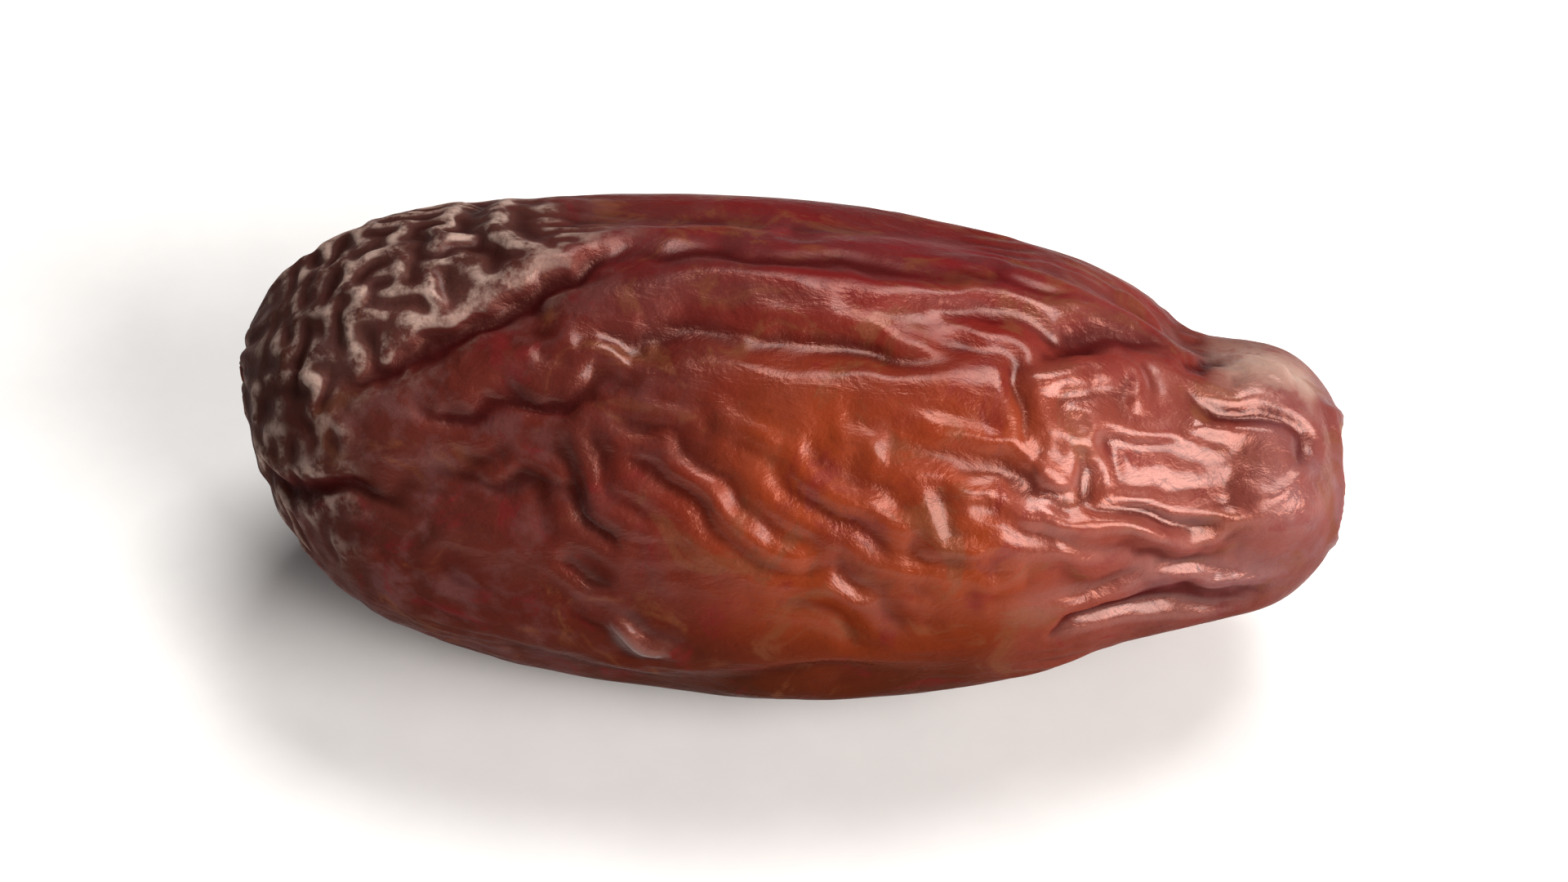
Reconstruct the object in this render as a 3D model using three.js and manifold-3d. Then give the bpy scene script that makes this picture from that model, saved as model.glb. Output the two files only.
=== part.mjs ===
// A dried date, as picked and without its cap, lying on its side.
//
// The fruit grew as one piece, so it is one solid: a blunt barrel that narrows to the end
// where the stem was, with a shallow scar there, a rounded darker tip at the other end,
// soft lengthwise folds where the flesh shrank, and a small flat spot that it rests on.
//
// Millimetres, +Z up. X runs from the tip (-X) to the stem end (+X).
// The origin is on the resting surface, under the middle of the fruit's box.

import * as THREE from "three";
import { mergeVertices } from "three/addons/utils/BufferGeometryUtils.js";
import Module from "manifold-3d";

// Driving dimensions
const LENGTH = 42;
const WAIST_RADIUS = 9.35;
const STEM_RADIUS = 5.2;
const SCAR_RADIUS = 2.3;
const SCAR_DEPTH = 0.75;
const TIP_LIFT = 1.9;
const REST_DEPTH = 0.42;
const SIDE_SPREAD = 1.015;
const SAG = 0.965;

// How finely the skin is divided
const RINGS = 52;
const SEGMENTS = 76;

// Side of the fruit that its best view shows, in degrees from straight up towards -Y
const SHOWN_SIDE = 40;

const degrees = THREE.MathUtils.degToRad;
const smoothstep = THREE.MathUtils.smoothstep;

// Half outline from the tip to the middle of the stem scar: [distance from the tip, radius]
function halfOutline() {
  const points = [
    [0, 0],
    [0.3, 1.45],
    [2.1, 4.65],
    [5, 7.1],
    [10, 8.5],
    [0.46 * LENGTH, WAIST_RADIUS],
    [26, 8.95],
    [31, 8.0],
    [34.5, 6.55],
    [37.4, STEM_RADIUS + 0.2],
    [40.2, STEM_RADIUS - 0.75],
    [LENGTH - 0.45, SCAR_RADIUS + 0.75],
    [LENGTH, SCAR_RADIUS - 0.1],
    [LENGTH - 0.4 * SCAR_DEPTH, 0.62 * SCAR_RADIUS],
    [LENGTH - SCAR_DEPTH, 0],
  ];
  return new THREE.CatmullRomCurve3(
    points.map(([along, radius]) => new THREE.Vector3(along, radius, 0)),
    false,
    "centripetal",
  );
}

// Lengthwise folds and ridges: where each starts and ends ([mm from the tip, degrees
// round from straight up towards -Y]), how deep it is (a ridge is negative), how wide.
const FOLDS = [
  { from: [12, 20], to: [35, -4], depth: 0.28, width: 0.9 },
  { from: [13, 7], to: [34, -14], depth: -0.2, width: 1.1 },
  { from: [10, -22], to: [31, -38], depth: 0.3, width: 1.3 },
  { from: [27, 46], to: [40, 38], depth: 0.35, width: 1.0 },
  { from: [29, 72], to: [41, 68], depth: 0.3, width: 1.0 },
  { from: [4, 62], to: [15, 52], depth: 0.35, width: 1.2 },
  { from: [3, 24], to: [14, 8], depth: 0.4, width: 1.1 },
  { from: [8, 118], to: [30, 104], depth: 0.3, width: 1.4 },
  { from: [24, 138], to: [40, 120], depth: 0.35, width: 1.2 },
  { from: [5, -78], to: [26, -66], depth: 0.38, width: 1.4 },
  { from: [17, -98], to: [39, -84], depth: 0.42, width: 1.3 },
  { from: [6, -124], to: [24, -132], depth: 0.3, width: 1.4 },
  { from: [25, -140], to: [40, -122], depth: 0.34, width: 1.3 },
];

// Broad hollows pressed into the flesh: centre [mm from the tip, degrees], depth, and
// how far each reaches along and round the fruit, in mm.
const HOLLOWS = [
  { at: [36.2, -48], depth: 0.8, along: 1.6, round: 3.6 },
  { at: [37.5, 124], depth: -0.4, along: 3.2, round: 3.6 },
  { at: [9, 36], depth: 0.3, along: 4.0, round: 3.0 },
  { at: [24, -104], depth: 0.55, along: 7.0, round: 3.4 },
  { at: [30, 150], depth: 0.35, along: 5.0, round: 3.5 },
];

// Signed difference of two angles in radians, from -PI to PI
function turn(from, to) {
  return Math.atan2(Math.sin(to - from), Math.cos(to - from));
}

function foldDepth(along, angle, radius) {
  let depth = 0;
  for (const fold of FOLDS) {
    const [start, startAngle] = fold.from;
    const [end, endAngle] = fold.to;
    const share = (along - start) / (end - start);
    const wobble = 3.5 * Math.sin(0.55 * along + startAngle);
    const middle = degrees(THREE.MathUtils.lerp(startAngle, endAngle, share) + wobble);
    const away = (radius * turn(middle, angle)) / fold.width;
    const fade = smoothstep(share, -0.08, 0.25) * (1 - smoothstep(share, 0.7, 1.08));
    depth += fold.depth * fade * Math.exp(-away * away);
  }
  return depth;
}

function hollowDepth(along, angle, radius) {
  let depth = 0;
  for (const hollow of HOLLOWS) {
    const [centre, centreAngle] = hollow.at;
    const alongShare = (along - centre) / hollow.along;
    const roundShare = (radius * turn(degrees(centreAngle), angle)) / hollow.round;
    depth += hollow.depth * Math.exp(-alongShare * alongShare - roundShare * roundShare);
  }
  return depth;
}

// The fruit is never quite round: a slow wave of two and three lobes along its length,
// and six blunt facets where the skin tightens towards the stem end.
function lobes(along, angle) {
  const two = 0.16 * Math.cos(2 * angle + 0.09 * along + 0.6);
  const three = 0.12 * Math.cos(3 * angle - 0.12 * along + 2.1);
  const facets = 0.17 * smoothstep(along, 28, 37) * Math.cos(6 * angle + 0.5);
  return two + three + facets;
}

// Point of the skin at a place on the half outline and an angle round the fruit
function skinPoint(outlinePoint, angle) {
  const { x: along, y: radius } = outlinePoint;
  const onBody = smoothstep(radius, 0.6, 4);
  const shape = lobes(along, angle) - foldDepth(along, angle, radius) - hollowDepth(along, angle, radius);
  const reach = radius + onBody * shape;
  const lift = TIP_LIFT * Math.exp(-along / 3.2);
  const side = degrees(SHOWN_SIDE - 90);
  return new THREE.Vector3(
    along,
    -SIDE_SPREAD * reach * Math.sin(angle) - lift * Math.sin(side),
    SAG * reach * Math.cos(angle) + lift * Math.cos(side),
  );
}

// A sphere's vertices, whose poles lie along X here, moved out onto the skin
function skinGeometry() {
  const sphere = new THREE.SphereGeometry(1, SEGMENTS, RINGS);
  sphere.deleteAttribute("normal");
  sphere.deleteAttribute("uv");
  const outline = halfOutline();
  const place = sphere.getAttribute("position");
  const direction = new THREE.Vector3();
  for (let i = 0; i < place.count; i++) {
    direction.fromBufferAttribute(place, i);
    const share = Math.acos(THREE.MathUtils.clamp(direction.y, -1, 1)) / Math.PI;
    const angle = Math.atan2(direction.x, direction.z);
    const point = skinPoint(outline.getPointAt(1 - share), angle);
    place.setXYZ(i, point.x, point.y, point.z);
  }
  return mergeVertices(sphere, 1e-3);
}

// Cuts the lowest sliver away, which leaves the flat spot that the soft flesh rests on
async function cutRestingSpot(skin) {
  const wasm = await Module();
  wasm.setup();
  const solidOf = (geometry) =>
    new wasm.Manifold(
      new wasm.Mesh({
        numProp: 3,
        vertProperties: geometry.getAttribute("position").array,
        triVerts: new Uint32Array(geometry.index.array),
      }),
    );
  skin.computeBoundingBox();
  const floor = skin.boundingBox.min.z + REST_DEPTH;
  const block = new THREE.BoxGeometry(2 * LENGTH, 2 * LENGTH, LENGTH);
  block.translate(LENGTH / 2, 0, floor - LENGTH / 2);
  block.deleteAttribute("normal");
  block.deleteAttribute("uv");
  const mesh = solidOf(skin).subtract(solidOf(mergeVertices(block))).getMesh();
  return new THREE.BufferGeometry()
    .setAttribute("position", new THREE.BufferAttribute(mesh.vertProperties, 3))
    .setIndex(new THREE.BufferAttribute(mesh.triVerts, 1));
}

// Puts the origin under the middle of the fruit's box
function standOnOrigin(geometry) {
  geometry.computeBoundingBox();
  const box = geometry.boundingBox;
  const centre = box.getCenter(new THREE.Vector3());
  return geometry.translate(-centre.x, -centre.y, -box.min.z);
}

async function makeDate() {
  const geometry = standOnOrigin(await cutRestingSpot(skinGeometry()));
  geometry.computeVertexNormals();
  const skin = new THREE.MeshStandardMaterial({ color: 0x6e2a1e, roughness: 0.38, metalness: 0 });
  const date = new THREE.Mesh(geometry, skin);
  date.name = "date";
  return date;
}

const group = new THREE.Group();
group.add(await makeDate());

export default group;
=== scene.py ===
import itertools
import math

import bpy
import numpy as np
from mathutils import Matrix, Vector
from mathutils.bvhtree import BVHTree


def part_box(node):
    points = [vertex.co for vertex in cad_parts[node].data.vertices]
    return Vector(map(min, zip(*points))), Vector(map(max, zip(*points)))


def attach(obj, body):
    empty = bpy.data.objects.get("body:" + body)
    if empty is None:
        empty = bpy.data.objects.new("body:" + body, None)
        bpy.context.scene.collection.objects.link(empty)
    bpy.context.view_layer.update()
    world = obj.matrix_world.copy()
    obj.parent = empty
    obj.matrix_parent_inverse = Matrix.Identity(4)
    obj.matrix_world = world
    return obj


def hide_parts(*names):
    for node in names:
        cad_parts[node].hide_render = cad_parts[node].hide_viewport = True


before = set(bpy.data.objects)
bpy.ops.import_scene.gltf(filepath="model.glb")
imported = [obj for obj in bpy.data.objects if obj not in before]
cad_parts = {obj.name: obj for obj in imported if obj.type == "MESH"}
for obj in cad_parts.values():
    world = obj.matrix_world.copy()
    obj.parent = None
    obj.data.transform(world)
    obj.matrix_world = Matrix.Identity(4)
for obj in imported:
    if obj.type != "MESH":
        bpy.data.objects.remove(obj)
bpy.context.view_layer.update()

# A dried date without its cap, lying on its side.
#
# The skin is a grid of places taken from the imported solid, one row per ring from the tip
# (-X) to the stem end (+X). It is folded as real skin is: the flesh under it shrank, so
# the skin is too long for it, buckles, and is held back by the soft flesh. That is worked
# out three times, on a finer grid each time: for the broad folds, the wrinkles and the
# fine wrinkles. The clearest ridges and creases of the photograph are laid down first, so
# that the folds gather on them.
#
# Lengths are in millimetres until the mesh is made, and then in metres. Angles round the
# fruit are in degrees from straight up towards -Y, the side that is shown.

NODE = "date"
MM = 0.001

LOW, HIGH = (np.array(corner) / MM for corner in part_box(NODE))
MIDDLE = (LOW + HIGH) / 2
HALF_WAY = MIDDLE[0] - LOW[0]

# How finely the skin is divided at first; each refinement doubles it
FIRST_RINGS = 77
FIRST_SIDES = 80

# The skin is looked up from a line inside the fruit: its half lengths, how near to the
# fruit's axis the first and last looks point, in radians, and how many trial rings are
# measured to space the rings of the grid evenly
TIP_CORE = 12.0
STEM_CORE = 15.5
FIRST_TURN = 0.02
TRIAL_RINGS = 301
TRIAL_SIDES = 8

# Limit on how much stiffer the skin is made where its grid lines crowd together
MOST_CROWDED = 6

# How fast the skin moves as it folds, the part of its speed that it keeps at each step,
# and how hard the flesh holds it against sliding, as a share of its hold against lifting
PACE = 0.12
KEPT_SPEED = 0.9
SLIDING_HOLD = 0.2

# The flat facet on the shown side of the stem end: centre [mm from the tip, degrees
# round], how far it reaches along and round, in mm, and how softly it ends that way
FACET = (35.5, 43)
FACET_REACH = (2.0, 0.9)
FACET_SOFT = (1.3, 1.0)

# Mean radius of the stem scar's rim, and how wide the rim is
SCAR_RIM = 2.35
RIM_WIDTH = 0.28

# The way that the glossiest skin faces: up, to the front and a little to the stem end
SHINY_WAY = np.array([0.24, -0.58, 0.78])

# Lines seen in the photograph: points [mm from the tip, degrees round], height and half
# width in mm. A crease has a negative height.
BROAD_LINES = [
    ([(5.0, 31), (9.4, 12), (14.5, -6)], -0.42, 0.55),
    ([(6.0, 20), (10.0, 2), (13.5, -14)], 0.22, 0.9),
    ([(7.4, 38), (10.2, 36), (12.4, 34), (15.5, 29)], -0.32, 0.5),
    ([(7.5, 30), (11.5, 24), (16.5, 13)], 0.26, 1.0),
    ([(17.0, 8), (22.3, 8), (27.0, 5), (32.0, -6)], 0.16, 0.75),
    ([(18.0, 17), (23.0, 16), (28.0, 13), (33.0, 6)], -0.08, 0.7),
    ([(14.0, -8), (20.0, -10), (27.0, -13), (33.0, -20)], -0.2, 0.7),
    ([(13.5, -14), (18.0, -23), (22.0, -27)], 0.22, 0.9),
    ([(29.6, 57), (31.4, 56), (33.1, 59), (34.6, 65), (36.0, 70), (38.6, 73)], 0.32, 0.55),
    ([(33.0, 53), (34.8, 58), (36.2, 62), (38.6, 62)], -0.22, 0.45),
    ([(31.0, 94), (33.0, 92), (36.0, 96), (39.6, 108)], -0.4, 0.55),
    ([(30.6, 12), (32.6, -6), (35.6, -18)], -0.3, 0.7),
    ([(35.5, 8), (37.2, 13), (38.8, 11), (39.8, 18), (40.0, 30), (39.5, 41)], -0.32, 0.45),
    ([(37.2, -14), (39.0, -20), (40.4, -26)], 0.28, 1.2),
    ([(1.5, 92), (3.4, 70), (4.9, 65), (7.0, 65)], -0.26, 0.4),
    ([(35.6, -2), (36.6, -16), (36.8, -34)], -0.22, 0.4),
]
MIDDLE_LINES = [
    ([(16.7, 41), (17.4, 48), (19.2, 52), (20.5, 63), (22.3, 71)], 0.15, 0.42),
    ([(18.4, 33), (20.2, 38), (21.6, 42)], 0.12, 0.4),
    ([(21.8, 44), (23.3, 49), (25.4, 58)], 0.15, 0.42),
    ([(22.9, 37), (25.3, 43)], 0.13, 0.4),
    ([(25.8, 34), (28.0, 36), (30.2, 34)], 0.16, 0.5),
    ([(27.0, 49), (29.6, 50)], 0.14, 0.45),
    ([(26.6, 64), (29.6, 64)], 0.12, 0.4),
    ([(22.4, 72), (24.8, 81)], 0.12, 0.4),
    ([(15.3, 88), (17.9, 98)], 0.34, 0.42),
    ([(28.6, 79), (30.6, 73)], 0.1, 0.4),
]
STEM_END_LINES = [
    ([(31.0, 64), (32.4, 70), (34.2, 77), (36.5, 82)], 0.2, 0.4),
    ([(31.0, 89), (32.1, 86), (33.3, 84), (34.7, 84), (37.4, 89), (40.6, 100)], 0.26, 0.38),
    ([(32.8, 38), (35.2, 32), (38.2, 34)], 0.13, 0.32),
    ([(32.6, 50), (35.6, 53), (38.9, 53)], 0.15, 0.34),
    ([(33.8, 44), (35.6, 42), (37.2, 45)], 0.06, 0.28),
    ([(37.6, 34), (38.1, 44), (39.0, 54)], 0.1, 0.32),
    ([(30.4, 43), (31.0, 46), (31.1, 50)], 0.24, 0.62),
    ([(32.4, 37), (32.3, 45), (32.5, 53)], -0.14, 0.34),
    ([(30.0, 23), (31.0, 18), (32.1, 12), (34.4, 2)], 0.3, 0.6),
    ([(33.8, 3), (34.1, 14), (33.8, 26)], 0.15, 0.32),
    ([(33.0, -42), (33.8, -39), (35.0, -37)], 0.16, 0.4),
    ([(36.3, 23), (38.0, 19)], 0.12, 0.35),
    ([(39.0, 54), (40.0, 44), (40.7, 36)], 0.14, 0.3),
    ([(29.8, 8), (29.9, 22), (30.0, 36)], -0.12, 0.35),
]
TIP_LINES = [
    ([(4.0, -5), (5.0, -1), (5.9, 0)], 0.16, 0.3),
    ([(4.5, 9), (5.5, 8), (6.6, 7)], 0.16, 0.3),
    ([(7.6, -5), (7.9, 2), (8.4, 8)], 0.14, 0.3),
    ([(2.9, 22), (3.8, 28), (4.5, 33)], 0.18, 0.4),
    ([(0.9, 22), (1.1, 40), (1.3, 59)], 0.14, 0.3),
    ([(3.8, 47), (4.6, 42), (5.7, 47)], 0.14, 0.35),
    ([(1.4, 23), (2.4, 23), (3.3, 21)], 0.14, 0.3),
    ([(6.1, 20), (6.8, 22), (7.6, 28)], 0.12, 0.35),
    ([(10.2, 58), (11.2, 52), (12.2, 49), (13.8, 51)], 0.14, 0.4),
    ([(8.3, 79), (9.3, 73), (10.5, 70)], 0.12, 0.4),
    ([(13.5, 62), (14.7, 65), (16.0, 68)], -0.14, 0.35),
    ([(13.2, 72), (14.5, 77), (15.8, 79)], -0.14, 0.35),
    ([(7.2, -20), (8.4, -18), (9.8, -16)], 0.14, 0.5),
    ([(9.4, -26), (10.4, -18), (11.6, -8)], 0.14, 0.6),
    ([(4.6, 88), (5.6, 85), (6.8, 84)], 0.14, 0.5),
]
PALE_FACET_LINES = [
    ([(37.2, -34), (38.8, -30), (40.6, -24)], 0.18, 0.35),
    ([(36.9, -18), (38.6, -12), (40.4, -8)], -0.14, 0.35),
]
FINE_LINES = MIDDLE_LINES + STEM_END_LINES + TIP_LINES + PALE_FACET_LINES
CREASES = [line for line in BROAD_LINES if line[1] < 0]

# Where a small blister near the floor shines: a line whose height is the gloss
GLINT = ([(15.3, 88), (17.9, 98)], 0.9, 0.7)

# Colours of the skin
MAHOGANY = (0.068, 0.009, 0.006)
RED_BROWN = (0.130, 0.013, 0.007)
AMBER = (0.25, 0.036, 0.008)
# Painted shade on the underside next to the floor, a dark olive brown
OLIVE_UNDERSIDE_SHADE = (0.036, 0.010, 0.003)
BLOTCH = (0.145, 0.046, 0.019)
# The stem end's own rose tone, partly painted glare
ROSE_AND_GLARE = (0.20, 0.047, 0.034)
ASHEN = (0.165, 0.070, 0.070)
# Painted highlight on the stem end's upper rim, a whitish beige
PALE_HIGHLIGHT = (0.38, 0.25, 0.20)
# Painted shade in the drawn creases, a very dark red
PAINTED_CREASE_SHADE = (0.06, 0.006, 0.006)
# Painted sheen and painted shade on the upper far side, a dark mauve
MAUVE_SHEEN_SHADE = (0.10, 0.018, 0.019)
CRIMSON = (0.13, 0.008, 0.011)
# Painted shade towards the tip, a dark brown
TIP_END_SHADE = (0.066, 0.015, 0.011)
# Painted sheen in patches towards the tip, a mauve grey
SHEEN_PATCH = (0.125, 0.048, 0.046)
TIP_BROWN = (0.050, 0.022, 0.018)
# Dusty bloom and painted glints on the tip's ridges, a beige
BLOOM_AND_GLINT = (0.38, 0.27, 0.225)
CORK = (0.30, 0.17, 0.085)
# Painted shade in the stem scar's hollows, a dark brown
CORK_HOLLOW_SHADE = (0.09, 0.04, 0.022)

# What the colour is multiplied by: in folds and hollows as painted shade, and under a speck
PAINTED_FOLD_SHADE = (0.42, 0.28, 0.28)
SPECK_SHADE = (0.5, 0.4, 0.4)

# The tint of the skin's shine
SALMON = (1, 0.44, 0.33, 1)

# The floor, in metres, and its two shades of paper
FLOOR_SIZE = 4
PAPER_SHADE = (0.86, 0.86, 0.85)
PAPER = (0.90, 0.90, 0.89)

# The sky's colour and strength
SKY = (0.95, 0.97, 1, 1)
SKY_STRENGTH = 0.09

# The camera: degrees right of the front, degrees up, metres away, and its lens in mm
CAMERA_AZIMUTH = 4.6
CAMERA_ELEVATION = 50
CAMERA_DISTANCE = 0.165
LENS = 100
NEAREST_SEEN = 0.005


# Number helpers

def smoothstep(value, low, high):
    share = np.clip((value - low) / (high - low), 0, 1)
    return share * share * (3 - 2 * share)


def between(value, low, high, soft):
    """1 from low to high, falling to 0 over `soft` outside them."""
    return smoothstep(value, low - soft, low) * (1 - smoothstep(value, high, high + soft))


def bell(value, centre, width):
    """1 at the centre, falling off to both sides."""
    return np.exp(-((value - centre) / width) ** 2)


def angle_gap(angle, centre):
    """Signed difference of two angles in degrees, from -180 to 180."""
    return (angle - centre + 180) % 360 - 180


def near_angle(angle, centre, reach):
    """1 at an angle round the fruit, falling to 0 at `reach` degrees from it."""
    return 1 - smoothstep(np.abs(angle_gap(angle, centre)), 0, reach)


def length_of(step):
    return np.sqrt((step * step).sum(-1))


def noise(places, size, seed):
    """Smooth noise, about -1 to 1, with lumps `size` mm across."""
    rng = np.random.default_rng(seed)
    order = rng.permutation(256)
    slopes = rng.normal(size=(256, 3))
    slopes /= np.linalg.norm(slopes, axis=1, keepdims=True)
    scaled = places / size + rng.uniform(0, 64, 3)
    cell = np.floor(scaled).astype(int)
    inside = scaled - cell
    ease = inside ** 3 * (inside * (inside * 6 - 15) + 10)
    total = np.zeros(places.shape[:-1])
    for corner in itertools.product((0, 1), repeat=3):
        x, y, z = np.moveaxis((cell + corner) & 255, -1, 0)
        slope = slopes[order[(order[(order[x] + y) & 255] + z) & 255]]
        weight = np.where(corner, ease, 1 - ease).prod(-1)
        total += weight * (slope * (inside - corner)).sum(-1)
    return 1.6 * total


# The grid of the skin: rows are rings along the fruit, columns go round it

def ahead(grid):
    """The next place round the fruit."""
    return np.roll(grid, -1, axis=1)


def behind(grid):
    """The place before, round the fruit."""
    return np.roll(grid, 1, axis=1)


def average(grid, times=1):
    """Each place moved to the weighted mean of its neighbours."""
    for _ in range(times):
        grid = 0.5 * grid + 0.25 * (ahead(grid) + behind(grid))
        inner = 0.5 * grid[1:-1] + 0.25 * (grid[2:] + grid[:-2])
        grid = np.concatenate([grid[:1], inner, grid[-1:]])
    return grid


def sag(grid, round_weight):
    """How far the neighbours of each place lie from it, summed."""
    result = round_weight * (ahead(grid) + behind(grid) - 2 * grid)
    result[1:-1] += grid[2:] + grid[:-2] - 2 * grid[1:-1]
    return result


def with_ends(rows):
    """The rows, with one more at each end that carries on in a straight line."""
    return np.concatenate([2 * rows[:1] - rows[1:2], rows, 2 * rows[-1:] - rows[-2:-1]])


def finer(grid):
    """The same skin with a place added halfway between all neighbours, on a smooth curve."""
    rows, columns = grid.shape[:2]
    wide = np.empty((rows, 2 * columns, *grid.shape[2:]))
    wide[:, ::2] = grid
    wide[:, 1::2] = (9 * (grid + ahead(grid)) - behind(grid) - ahead(ahead(grid))) / 16
    padded = with_ends(wide)
    full = np.empty((2 * rows - 1, *wide.shape[1:]))
    full[::2] = wide
    full[1::2] = (9 * (padded[1:-2] + padded[2:-1]) - padded[:-3] - padded[3:]) / 16
    return full


def outward(grid):
    """Unit normals of the skin."""
    normal = np.cross(ahead(grid) - behind(grid), np.gradient(grid, axis=0))
    return normal / np.linalg.norm(normal, axis=-1, keepdims=True)


def raise_by(form, height):
    return form + height[..., None] * outward(form)


def where(grid):
    """How far from the tip, in mm, and at which angle, in degrees, each place lies."""
    along = grid[..., 0] - LOW[0]
    angle = np.degrees(np.arctan2(MIDDLE[1] - grid[..., 1], grid[..., 2] - MIDDLE[2]))
    return along, angle


def cast_form():
    """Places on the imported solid, evenly spread from the tip to the stem end."""
    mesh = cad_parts[NODE].data
    tree = BVHTree.FromPolygons(
        [vertex.co / MM for vertex in mesh.vertices],
        [polygon.vertices[:] for polygon in mesh.polygons],
    )
    apex = min(mesh.vertices, key=lambda vertex: vertex.co.x).co / MM - Vector(MIDDLE)

    def cast(turn, angle):
        core = TIP_CORE if turn < math.pi / 2 else STEM_CORE
        lean = max(math.cos(turn), 0)
        start = Vector(MIDDLE) + Vector((-core * math.cos(turn), lean * apex.y, lean * apex.z))
        sideways = -math.sin(turn) * math.sin(angle)
        upwards = math.sin(turn) * math.cos(angle)
        return tree.ray_cast(start, Vector((-math.cos(turn), sideways, upwards)))[0]

    trial_turns = np.linspace(FIRST_TURN, math.pi - FIRST_TURN, TRIAL_RINGS)
    trial_angles = np.linspace(0, 2 * math.pi, TRIAL_SIDES, endpoint=False)
    trial = np.array([[cast(turn, angle) for angle in trial_angles] for turn in trial_turns])
    steps = length_of(np.diff(trial, axis=0)).mean(1)
    run = np.concatenate([[0], np.cumsum(steps)])
    turns = np.interp(np.linspace(0, run[-1], FIRST_RINGS), run, trial_turns)
    angles = np.linspace(0, 2 * math.pi, FIRST_SIDES, endpoint=False)
    return np.array([[cast(turn, angle) for angle in angles] for turn in turns])


# Folding

def growth_across(slant, excess, other):
    """Extra length of the skin along, round and on the slant, for folds that run at
    `slant` degrees to the fruit's length, with `other` as the extra along the folds."""
    sine, cosine = np.sin(np.radians(slant)), np.cos(np.radians(slant))
    return (
        excess * sine ** 2 + other * cosine ** 2,
        excess * cosine ** 2 + other * sine ** 2,
        (other - excess) * sine * cosine,
    )


def relax(form, start, growth, bend, hold, steps):
    """Lets skin that is too long for its flesh buckle, and returns the folded skin.

    bend is its stiffness against bending and hold the pull of the flesh; together they
    set how wide a fold is.
    """
    more_along, more_round, more_slant = (part[1:] for part in growth)

    def rest(step, part_along, part_round):
        """Length of a step of the form once the skin has grown."""
        grown_along = part_along * (1 + more_along) + part_round * more_slant
        grown_round = part_round * (1 + more_round) + part_along * more_slant
        grown = np.hypot(grown_along, grown_round)
        return length_of(step) * grown / np.hypot(part_along, part_round)

    def pull(step, length):
        return step * (1 - length / (length_of(step) + 1e-9))[..., None]

    long_way, round_way = length_of(form[1:] - form[:-1]), length_of(ahead(form) - form)
    rest_long = rest(form[1:] - form[:-1], long_way, 0)
    rest_round = round_way * np.hypot(1 + growth[1], growth[2])
    rest_up = rest(ahead(form)[1:] - form[:-1], long_way, round_way[1:])
    rest_down = rest(form[1:] - ahead(form)[:-1], long_way, -round_way[1:])

    normal = outward(form)
    crowding = length_of(np.gradient(form, axis=0)) / round_way
    crowded = np.clip(crowding ** 2, 1, MOST_CROWDED)[..., None]
    bend, hold = (np.broadcast_to(part, form.shape[:2])[..., None] for part in (bend, hold))
    free = np.ones((len(form), 1, 1))
    free[[0, 1, -2, -1]] = 0
    skin, speed = start.copy(), np.zeros_like(start)
    for _ in range(steps):
        force = np.zeros_like(skin)
        long_pull = pull(skin[1:] - skin[:-1], rest_long)
        up_pull = 0.5 * pull(ahead(skin)[1:] - skin[:-1], rest_up)
        down_pull = 0.5 * pull(skin[1:] - ahead(skin)[:-1], rest_down)
        round_pull = pull(ahead(skin) - skin, rest_round)
        force[:-1] += long_pull + up_pull + behind(down_pull)
        force[1:] -= long_pull + behind(up_pull) + down_pull
        force += round_pull - behind(round_pull)
        moved = skin - form
        force -= sag(bend * sag(moved, crowded), crowded)
        raised = (moved * normal).sum(-1, keepdims=True) * normal
        force -= hold * (SLIDING_HOLD * moved + (1 - SLIDING_HOLD) * raised)
        speed = KEPT_SPEED * speed + PACE * free * force
        skin = skin + speed
    return skin


def level(form, skin, times):
    """Takes out the even swelling of the whole skin, and keeps its folds."""
    return skin - average(skin - form, times)


def curve_through(points, spacing=0.3, degrees_per_mm=7):
    """Places on a smooth line through a few points [mm from the tip, degrees round]."""
    padded = with_ends(np.array(points, float))
    places = []
    for a, b, c, d in zip(padded, padded[1:], padded[2:], padded[3:]):
        reach = math.hypot(c[0] - b[0], (c[1] - b[1]) / degrees_per_mm)
        for t in np.linspace(0, 1, math.ceil(reach / spacing), endpoint=False):
            places.append(0.5 * (2 * b + (c - a) * t + (2 * a - 5 * b + 4 * c - d) * t ** 2
                                 + (3 * b - a - 3 * c + d) * t ** 3))
    return np.array(places)


def line_height(form, lines):
    """Height of the drawn ridges and creases over the form, each wandering a little."""
    along, angle = where(form)
    along = along + 0.5 * noise(form, 2.6, seed=21) + 0.2 * noise(form, 1.1, seed=22)
    angle = angle + 3.5 * noise(form, 2.6, seed=23) + 1.4 * noise(form, 1.1, seed=24)
    radius = length_of(form[..., 1:] - MIDDLE[1:])
    height = np.zeros(along.shape)
    for points, tall, wide in lines:
        route = curve_through(points)
        nearest = np.full(along.shape, np.inf)
        share = np.zeros(along.shape)
        for order, (line_along, line_angle) in enumerate(route):
            aside = np.radians(angle_gap(angle, line_angle)) * radius
            apart = (along - line_along) ** 2 + aside ** 2
            share = np.where(apart < nearest, order / (len(route) - 1), share)
            nearest = np.minimum(nearest, apart)
        fade = smoothstep(share, -0.05, 0.3) * (1 - smoothstep(share, 0.7, 1.05))
        height += tall * fade * np.exp(-nearest / wide ** 2)
    return height


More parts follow.
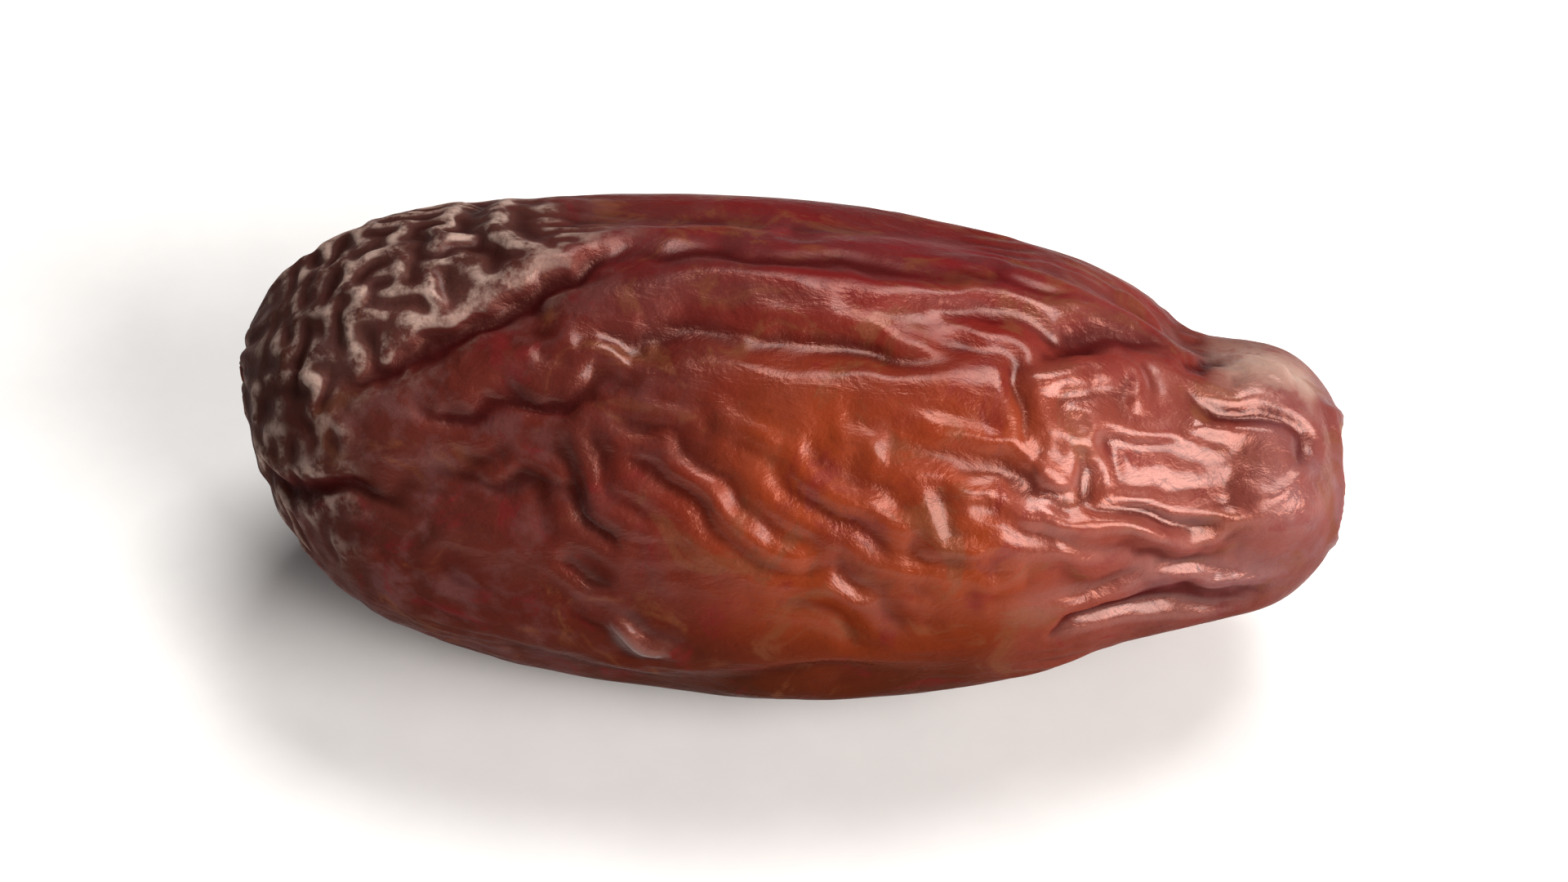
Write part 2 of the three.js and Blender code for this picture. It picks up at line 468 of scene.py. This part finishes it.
def press_facet(form):
    """Flattens the skin on the facet."""
    along, angle = where(form)
    radius = length_of(form[..., 1:] - MIDDLE[1:])
    aside = np.radians(angle_gap(angle, FACET[1])) * radius
    row, column = divmod(int(np.argmin((along - FACET[0]) ** 2 + aside ** 2)), form.shape[1])
    centre, normal = form[row, column], outward(average(form, 4))[row, column]
    share = between(along, FACET[0] - FACET_REACH[0], FACET[0] + FACET_REACH[0], FACET_SOFT[0])
    share = share * between(aside, -FACET_REACH[1], FACET_REACH[1], FACET_SOFT[1])
    over = ((form - centre) * normal).sum(-1, keepdims=True)
    return form - share[..., None] * over * normal


def tip_height(form):
    """Height of the point at the tip, the groove round it, and the puckers round that."""
    apex = form[0].mean(0)
    from_tip = length_of(form[..., 1:] - apex[1:]) + 0.22 * noise(form, 1.2, seed=42)
    turn = np.arctan2(form[..., 1] - apex[1], form[..., 2] - apex[2])
    rays = np.stack([2.4 * np.cos(turn), 2.4 * np.sin(turn), 0.3 * from_tip], -1)
    fade = 1 - smoothstep(form[..., 0] - LOW[0], 7, 12)
    puckers = 0.2 * noise(rays, 0.75, seed=43) * between(from_tip, 1.2, 5.5, 2.0) * fade
    return 0.02 * bell(from_tip, 0, 0.5) - 0.08 * bell(from_tip, 0.95, 0.4) + puckers


def scar_height(form):
    """Height of the uneven rim of the stem scar, its fibres, and the point at its centre."""
    from_axis = length_of(form[..., 1:] - form[-1].mean(0)[1:])
    turn = np.arctan2(form[..., 1] - MIDDLE[1], form[..., 2] - MIDDLE[2])
    uneven = 0.25 * np.sin(3 * turn + 1) + 0.15 * np.sin(7 * turn)
    rim = 0.2 * bell(from_axis - SCAR_RIM, uneven, RIM_WIDTH)
    spokes = np.stack([2.6 * np.cos(turn), 2.6 * np.sin(turn), 0.25 * from_axis], -1)
    fibres = 0.09 * noise(spokes, 0.35, seed=41) * between(from_axis, 0.5, 1.8, 0.4)
    return rim + fibres + 0.12 * bell(from_axis, 0, 0.35)


# Parts of the skin, from 0 to 1

def tip_limit(angle):
    """How far from the tip, in mm, its dry wrinkled part reaches."""
    return 4.2 + 9.3 * near_angle(angle, -18, 68) + 3.0 * near_angle(angle, 170, 60)


def shown_middle(along, angle):
    """The middle of the shown side, where the wrinkles slant."""
    return near_angle(angle, 58, 62) * between(along, 14, 30, 5)


def shown_left(along, angle):
    """The shown side between the tip and the middle, low down."""
    return near_angle(angle, 70, 60) * between(along, 7, 17, 3)


def far_side(along, angle):
    """The side turned away."""
    return near_angle(angle, -115, 80) * between(along, 10, 31, 5)


# The three levels of folds. At each, excess and other are the extra length across and
# along the folds, as shares, and the seed is the unevenness in mm that they grow from.

def fold_broadly():
    """The body with its few long folds."""
    form = average(cast_form(), 2)
    off_floor = smoothstep(form[..., 2], 0.4, 2.4)
    growth = growth_across(0, 0.038 * off_floor, 0.014 * off_floor)
    seed = 0.10 * noise(form * [0.4, 1, 1], 2.6, seed=1)
    hold = 0.009 + 0.004 * noise(form, 9, seed=10)
    folded = relax(form, raise_by(form, seed), growth, bend=0.03, hold=hold, steps=400)
    return level(form, folded, 30)


def fold_wrinkles(broad):
    """The wrinkles, a few mm apart, with the broad lines laid down under them."""
    form = finer(broad)
    along, angle = where(form)
    off_floor = smoothstep(form[..., 2], 0.4, 2.0)
    form = raise_by(form, 0.7 * line_height(form, BROAD_LINES))
    drawn = 0.6 * line_height(form, FINE_LINES)

    middle = shown_middle(along, angle)
    back = far_side(along, angle)
    tip = 1 - smoothstep(along - tip_limit(angle), -1.5, 2.0)
    stem = smoothstep(along, 28, 33)
    patch = smoothstep(noise(form, 6, seed=11), -0.5, 0.6)
    slant = 40 * middle + 45 * noise(form, 5, seed=12) * (1 - 0.4 * middle)
    excess = 0.018 + 0.026 * patch * (1 - 0.6 * middle)
    excess = excess + 0.008 * stem + 0.004 * tip + 0.014 * back
    other = 0.014 + 0.010 * tip
    growth = growth_across(slant, excess * off_floor, other * off_floor)

    seed = 0.05 * noise(form * [0.5, 1, 1], 1.2, seed=2) + drawn
    hold = 0.013 + 0.008 * noise(form, 5, seed=16) + 0.014 * middle
    bend = 0.016 - 0.009 * middle
    form = raise_by(form, 0.5 * drawn)
    folded = relax(form, raise_by(form, seed), growth, bend, hold, steps=400)
    return level(form, folded, 60)


def fold_finely(wrinkled):
    """The fine wrinkles, thickest at both ends, with the fine lines under them."""
    form = finer(press_facet(wrinkled))
    along, angle = where(form)
    off_floor = smoothstep(form[..., 2], 0.3, 1.6)
    at_ends = np.where(along < HALF_WAY, tip_height(form), scar_height(form))
    form = raise_by(form, 0.35 * line_height(form, FINE_LINES) + at_ends)

    middle = shown_middle(along, angle)
    left = shown_left(along, angle)
    back = far_side(along, angle)
    tip = 1 - smoothstep(along - tip_limit(angle) + 0.8 * noise(form, 3, seed=13), -2, 1)
    stem = smoothstep(along, 29, 32)
    patch = smoothstep(noise(form, 3.5, seed=14), -0.3, 0.6)
    uneven = smoothstep(noise(form, 2.0, seed=19), -0.5, 0.4)
    slant = 35 * middle + 50 * noise(form, 3.5, seed=15) * (1 - 0.3 * middle)
    slant = slant + 50 * tip * noise(form, 2.2, seed=18)
    excess = 0.010 + 0.026 * patch + tip * (0.01 + 0.06 * uneven)
    excess = excess + (0.034 * stem + 0.010 * middle + 0.022 * left + 0.026 * back) * uneven
    other = 0.009 + 0.012 * patch + tip * (0.004 + 0.024 * uneven)
    free = smoothstep(along, 0.1, 1.0) * (1 - smoothstep(along, 40.4, 41.2)) * off_floor
    growth = growth_across(slant, excess * free, other * free)

    seed = 0.03 * noise(form * [0.6, 1, 1], 0.6, seed=3)
    hold = (0.014 + 0.008 * noise(form, 3, seed=17)) * (1 - 0.55 * tip)
    return relax(form, raise_by(form, seed), growth, bend=0.012, hold=hold, steps=300)


# The mesh

def build_mesh(name, skin, marks):
    """A closed mesh from the grid, with one place added at each end, and its marks."""
    rows, columns = skin.shape[:2]
    ends = np.stack([skin[0].mean(0), skin[-1].mean(0)])
    places = np.concatenate([skin.reshape(-1, 3), ends]) * MM
    index = np.arange(rows * columns).reshape(rows, columns)
    quads = np.stack([index[:-1], ahead(index)[:-1], ahead(index)[1:], index[1:]], -1)
    tip_end, stem_end = rows * columns, rows * columns + 1
    faces = quads.reshape(-1, 4).tolist()
    faces += [(tip_end, b, a) for a, b in zip(index[0], ahead(index)[0])]
    faces += [(stem_end, a, b) for a, b in zip(index[-1], ahead(index)[-1])]
    mesh = bpy.data.meshes.new(name)
    mesh.from_pydata(places, [], faces)
    mesh.polygons.foreach_set("use_smooth", np.ones(len(mesh.polygons), bool))
    for mark, values in marks.items():
        layer = mesh.attributes.new(mark, "FLOAT", "POINT")
        ends = [values[0].mean(), values[-1].mean()]
        layer.data.foreach_set("value", np.concatenate([values.ravel(), ends]).astype(np.float32))
    return mesh


def depth_below(skin, times, full):
    """0.5 on plain skin, up to 1 in its hollows and down to 0 on its ridges, which are
    `full` mm deep or high at those ends."""
    below = (average(skin, times) - skin) * outward(average(skin, 2))
    return np.clip(0.5 + 0.5 * (below.sum(-1) / full), 0, 1)


def mark_skin(skin):
    """Numbers from 0 to 1 that say where the skin is dry, sunken and so on, and where shade, sheen
    and highlights are painted on it.
    """
    along, angle = where(skin)
    from_axis = length_of(skin[..., 1:] - skin[-1].mean(0)[1:])
    facing = (outward(average(skin, 6)) * SHINY_WAY).sum(-1)

    stem = smoothstep(along + 1.2 * noise(skin, 3, seed=32), 28.5, 32)
    end = smoothstep(along + noise(skin, 2, seed=35), 37.5, 40.5)
    low_end = smoothstep(along + noise(skin, 2, seed=37), 33, 36)
    pale_highlight = between(along + 0.5 * noise(skin, 1.5, seed=36), 37.2, 40.4, 0.8)
    scar = 1 - smoothstep(from_axis + 0.3 * noise(skin, 0.8, seed=34), 1.5, 2.2)
    shine = smoothstep(facing, 0.63, 0.96) * (0.66 + 0.34 * smoothstep(along, 28, 32))
    return {
        "sunken": depth_below(skin, 12, 0.10),
        "deep": depth_below(skin, 60, 0.30),
        "tip": 1 - smoothstep(along - tip_limit(angle) + 1.2 * noise(skin, 2.5, seed=31), -3, 3),
        "stem": stem * (0.35 + 0.65 * near_angle(angle, 64, 85)),
        "amber": near_angle(angle, 60, 78) * between(along, 22, 30, 6),
        # The part towards the tip where shade is painted, fading out by 24 mm from the tip
        "shaded_tip_end": 1 - smoothstep(along + 2.5 * noise(skin, 6, seed=33), 4, 24),
        # The underside next to the floor, where shade is painted
        "rim": near_angle(angle, 140, 92),
        "scar": scar * (along > HALF_WAY),
        # The upper far side, where a mauve sheen and shade are painted
        "sheen_shade_side": near_angle(angle, -22, 60) * between(along, 14, 33, 5),
        "end": np.maximum(end, 0.85 * near_angle(angle, 92, 34) * low_end),
        "shine": np.maximum(shine, line_height(skin, [GLINT])),
        "crease": np.clip(-line_height(skin, CREASES) / 0.25, 0, 1),
        # Where the whitish highlight is painted on the stem end's upper rim
        "pale_highlight": near_angle(angle, -30, 44) * pale_highlight,
    }


# The material

class Nodes:
    """Adds shader nodes to a material, each at a place of its own."""

    def __init__(self, name):
        self.material = bpy.data.materials.new(name)
        self.material.use_nodes = True
        self.tree = self.material.node_tree
        self.shader = self.tree.nodes["Principled BSDF"]
        self.count = 0

    def add(self, kind, **settings):
        node = self.tree.nodes.new(kind)
        node.location = (-300 - 180 * (self.count % 8), 300 - 260 * (self.count // 8))
        self.count += 1
        for name, value in settings.items():
            setattr(node, name, value)
        return node

    def feed(self, socket, value):
        if isinstance(value, bpy.types.NodeSocket):
            self.tree.links.new(value, socket)
        else:
            socket.default_value = value

    def attribute(self, name):
        return self.add("ShaderNodeAttribute", attribute_name=name).outputs["Fac"]

    def noise(self, size, detail=3, roughness=0.5, stretch=(1, 1, 1), distortion=0.0):
        """Noise with lumps `size` mm across."""
        place = self.add("ShaderNodeTexCoord").outputs["Object"]
        scaled = self.add("ShaderNodeVectorMath", operation="MULTIPLY")
        self.feed(scaled.inputs[0], place)
        scaled.inputs[1].default_value = [part / (size * MM) for part in stretch]
        node = self.add("ShaderNodeTexNoise")
        self.feed(node.inputs["Vector"], scaled.outputs[0])
        node.inputs["Scale"].default_value = 1
        node.inputs["Detail"].default_value = detail
        node.inputs["Roughness"].default_value = roughness
        node.inputs["Distortion"].default_value = distortion
        return node.outputs["Fac"]

    def math(self, operation, a, b):
        node = self.add("ShaderNodeMath", operation=operation)
        for socket, value in zip(node.inputs, (a, b)):
            self.feed(socket, value)
        return node.outputs[0]

    def times(self, a, b):
        return self.math("MULTIPLY", a, b)

    def spread(self, value, low, high, to_low=0.0, to_high=1.0):
        """The value between low and high, eased to run between two others."""
        node = self.add("ShaderNodeMapRange", interpolation_type="SMOOTHSTEP")
        for name, part in (("Value", value), ("From Min", low), ("From Max", high),
                           ("To Min", to_low), ("To Max", to_high)):
            self.feed(node.inputs[name], part)
        return node.outputs["Result"]

    def blend(self, share, first, second, kind="MIX"):
        node = self.add("ShaderNodeMix", data_type="RGBA", blend_type=kind)
        self.feed(node.inputs["Factor"], share)
        for socket, value in ((node.inputs[6], first), (node.inputs[7], second)):
            self.feed(socket, (*value, 1) if isinstance(value, tuple) else value)
        return node.outputs[2]

    def shade(self, share, colour, shade):
        """The colour multiplied by a shade, as far as share says."""
        return self.blend(share, colour, self.blend(1.0, colour, shade, "MULTIPLY"))

    def bump(self, height, depth, normal=None):
        """Bump `depth` mm deep."""
        node = self.add("ShaderNodeBump")
        node.inputs["Strength"].default_value = 1
        node.inputs["Distance"].default_value = depth * MM
        self.feed(node.inputs["Height"], height)
        if normal is not None:
            self.feed(node.inputs["Normal"], normal)
        return node.outputs["Normal"]


def skin_colour(nodes, mark):
    """The colour of the flesh that shines through, by region, with painted shade, sheen, glare and
    highlight on some of them; then painted shade in folds and creases; then what lies on the skin,
    with painted glints among the tip's dust.
    """
    clouds = nodes.spread(nodes.noise(6.5, 4, 0.6, distortion=0.4), 0.36, 0.66)
    colour = nodes.blend(clouds, MAHOGANY, RED_BROWN)
    glow = nodes.times(mark["amber"], nodes.spread(nodes.noise(3.6, 3, 0.55), 0.25, 0.6, 0.25, 0.95))
    colour = nodes.blend(glow, colour, AMBER)
    # Painted shade: the underside next to the floor darkened to a dark olive brown
    colour = nodes.blend(nodes.times(mark["rim"], 0.85), colour, OLIVE_UNDERSIDE_SHADE)
    # Painted sheen and painted shade on the upper far side: dark mauve, streaked with crimson
    streaks = nodes.noise(2.2, 3, 0.6, stretch=(0.2, 1, 1))
    streaked_sheen_shade = nodes.blend(nodes.spread(streaks, 0.42, 0.6), CRIMSON, MAUVE_SHEEN_SHADE)
    colour = nodes.blend(nodes.times(mark["sheen_shade_side"], 0.8), colour, streaked_sheen_shade)
    # Partly the stem end's own rose tone and partly painted glare, strongest on the shown side
    blush = nodes.spread(nodes.noise(2.4, 4, 0.6), 0.3, 0.65, 0.45, 0.95)
    colour = nodes.blend(nodes.times(mark["stem"], blush), colour, ROSE_AND_GLARE)
    mottled = nodes.spread(nodes.noise(2.6, 4, 0.65), 0.35, 0.62, 0.3, 0.9)
    colour = nodes.blend(nodes.times(mark["end"], mottled), colour, ASHEN)
    # Painted highlight: a whitish patch on the stem end's upper rim
    colour = nodes.blend(nodes.times(mark["pale_highlight"], 0.85), colour, PALE_HIGHLIGHT)
    # Painted shade: the skin darkens towards the tip
    colour = nodes.blend(nodes.times(mark["shaded_tip_end"], 0.8), colour, TIP_END_SHADE)
    # Painted sheen: mauve-grey patches towards the tip
    sheen_patches = nodes.spread(nodes.noise(1.7, 4, 0.6), 0.46, 0.66, 0, 0.7)
    colour = nodes.blend(nodes.times(mark["shaded_tip_end"], sheen_patches), colour, SHEEN_PATCH)
    blotches = nodes.noise(3.0, 4, 0.65, distortion=0.8)
    colour = nodes.blend(nodes.spread(blotches, 0.54, 0.66, 0, 0.55), colour, BLOTCH)
    colour = nodes.blend(nodes.spread(blotches, 0.44, 0.32, 0, 0.5), colour, CRIMSON)
    colour = nodes.blend(nodes.times(mark["tip"], 0.7), colour, TIP_BROWN)

    # Painted shade: darker in the hollows of the wrinkles
    colour = nodes.shade(nodes.spread(mark["sunken"], 0.5, 1, 0, 0.8), colour, PAINTED_FOLD_SHADE)
    # Painted shade: the drawn creases darkened to a very dark red
    colour = nodes.blend(nodes.spread(mark["crease"], 0.1, 1, 0, 0.6), colour, PAINTED_CREASE_SHADE)
    # Painted shade: darker again in the broad hollows
    colour = nodes.shade(nodes.spread(mark["deep"], 0.5, 1, 0, 0.5), colour, PAINTED_FOLD_SHADE)
    # Partly dusty bloom and partly painted glints: beige in patches on the tip's ridges
    ridges = nodes.spread(mark["sunken"], 0.49, 0.13)
    patchy = nodes.spread(nodes.noise(1.0, 4, 0.65), 0.38, 0.64)
    dust_and_glints = nodes.times(nodes.times(ridges, patchy), nodes.times(mark["tip"], 0.9))
    colour = nodes.blend(dust_and_glints, colour, BLOOM_AND_GLINT)
    # Painted shade: the stem scar's cork darker in its hollows
    cork = nodes.blend(nodes.spread(mark["sunken"], 0.3, 0.8), CORK, CORK_HOLLOW_SHADE)
    colour = nodes.blend(mark["scar"], colour, cork)
    specks = nodes.spread(nodes.noise(0.5, 2, 0.6), 0.62, 0.8, 0, 0.35)
    return nodes.shade(specks, colour, SPECK_SHADE)


def skin_gloss(nodes, mark):
    """Roughness, the weight of the waxy coat, and the strength of the shine under it."""
    dry = nodes.math("MAXIMUM", mark["tip"], mark["scar"])
    rough = nodes.spread(nodes.noise(1.6, 4, 0.6), 0.3, 0.7, 0.25, 0.4)
    rough = nodes.math("ADD", rough, nodes.times(dry, 0.12))
    coat = nodes.spread(nodes.noise(4, 3, 0.6), 0.3, 0.65, 0.12, 0.5)
    coat = nodes.times(coat, nodes.math("SUBTRACT", 1, mark["scar"]))
    gleam = nodes.spread(mark["shine"], 0, 1, 0.008, 1)
    return rough, nodes.times(coat, gleam), gleam


def make_skin_material(marks):
    nodes = Nodes("date_skin")
    mark = {name: nodes.attribute(name) for name in marks}
    rough, coat, gleam = skin_gloss(nodes, mark)
    grain = nodes.bump(nodes.noise(0.3, 3, 0.6), 0.03)
    ripples = nodes.noise(1.0, 4, 0.6, stretch=(0.6, 1, 1), distortion=0.8)
    for name, value in (
        ("Base Color", skin_colour(nodes, mark)),
        ("Roughness", rough),
        ("Coat Weight", coat),
        ("Coat Roughness", 0.17),
        ("Coat IOR", 1.45),
        ("Specular IOR Level", gleam),
        ("Specular Tint", SALMON),
        ("IOR", 1.4),
        ("Subsurface Weight", 0.15),
        ("Subsurface Radius", (1.0, 0.32, 0.14)),
        ("Subsurface Scale", 1.2 * MM),
        ("Normal", nodes.bump(ripples, 0.09, grain)),
    ):
        nodes.feed(nodes.shader.inputs[name], value)
    return nodes.material


def make_date():
    skin = fold_finely(fold_wrinkles(fold_broadly()))
    skin[..., 2] = np.maximum(skin[..., 2], 0)
    marks = mark_skin(skin)
    date = bpy.data.objects.new("date_fruit", build_mesh("date_fruit", skin, marks))
    bpy.context.scene.collection.objects.link(date)
    date.data.materials.append(make_skin_material(marks))
    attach(date, "root")
    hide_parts(NODE)


# The floor, lights and camera

def direction(azimuth, elevation):
    """Unit vector to a place; azimuth 0 is in front of the fruit, 90 on its right."""
    turn, rise = math.radians(azimuth), math.radians(elevation)
    return Vector((math.sin(turn) * math.cos(rise), -math.cos(turn) * math.cos(rise), math.sin(rise)))


def make_floor():
    bpy.ops.mesh.primitive_plane_add(size=FLOOR_SIZE)
    floor = bpy.context.object
    floor.name = "floor"
    paper = Nodes("paper")
    fibre = paper.spread(paper.noise(6, 5, 0.6), 0.3, 0.7)
    paper.feed(paper.shader.inputs["Base Color"], paper.blend(fibre, PAPER_SHADE, PAPER))
    paper.shader.inputs["Roughness"].default_value = 1
    paper.shader.inputs["Specular IOR Level"].default_value = 0
    floor.data.materials.append(paper.material)


def add_light(name, azimuth, elevation, distance, size, watts, colour):
    """A soft lamp aimed at the fruit; its distance, width and height are in metres."""
    target = Vector(MIDDLE * MM)
    lamp = bpy.data.lights.new(name, "AREA")
    lamp.shape = "RECTANGLE"
    lamp.size, lamp.size_y = size
    lamp.energy = watts
    lamp.color = colour
    holder = bpy.data.objects.new(name, lamp)
    holder.location = target + distance * direction(azimuth, elevation)
    holder.rotation_euler = (target - holder.location).to_track_quat("-Z", "Y").to_euler()
    bpy.context.scene.collection.objects.link(holder)


def make_camera():
    lens = bpy.data.cameras.new("camera")
    lens.lens = LENS
    lens.clip_start = NEAREST_SEEN
    camera = bpy.data.objects.new("camera", lens)
    back = direction(CAMERA_AZIMUTH, CAMERA_ELEVATION)
    camera.location = Vector(MIDDLE * MM) + CAMERA_DISTANCE * back
    camera.rotation_euler = (-back).to_track_quat("-Z", "Y").to_euler()
    bpy.context.scene.collection.objects.link(camera)
    bpy.context.scene.camera = camera


def make_sky():
    world = bpy.data.worlds.new("studio")
    world.use_nodes = True
    background = world.node_tree.nodes["Background"]
    background.inputs["Color"].default_value = SKY
    background.inputs["Strength"].default_value = SKY_STRENGTH
    bpy.context.scene.world = world


make_date()
make_floor()
add_light("overhead", azimuth=150, elevation=62, distance=0.80, size=(0.50, 0.34), watts=6.4,
          colour=(1, 0.97, 0.95))
add_light("window", azimuth=56, elevation=32, distance=0.50, size=(0.32, 0.30), watts=3.9,
          colour=(1, 0.94, 0.91))
make_camera()
make_sky()

scene = bpy.context.scene
scene.view_settings.view_transform = "Standard"
scene.cycles.max_bounces = 4
scene.cycles.diffuse_bounces = 2
scene.cycles.glossy_bounces = 2
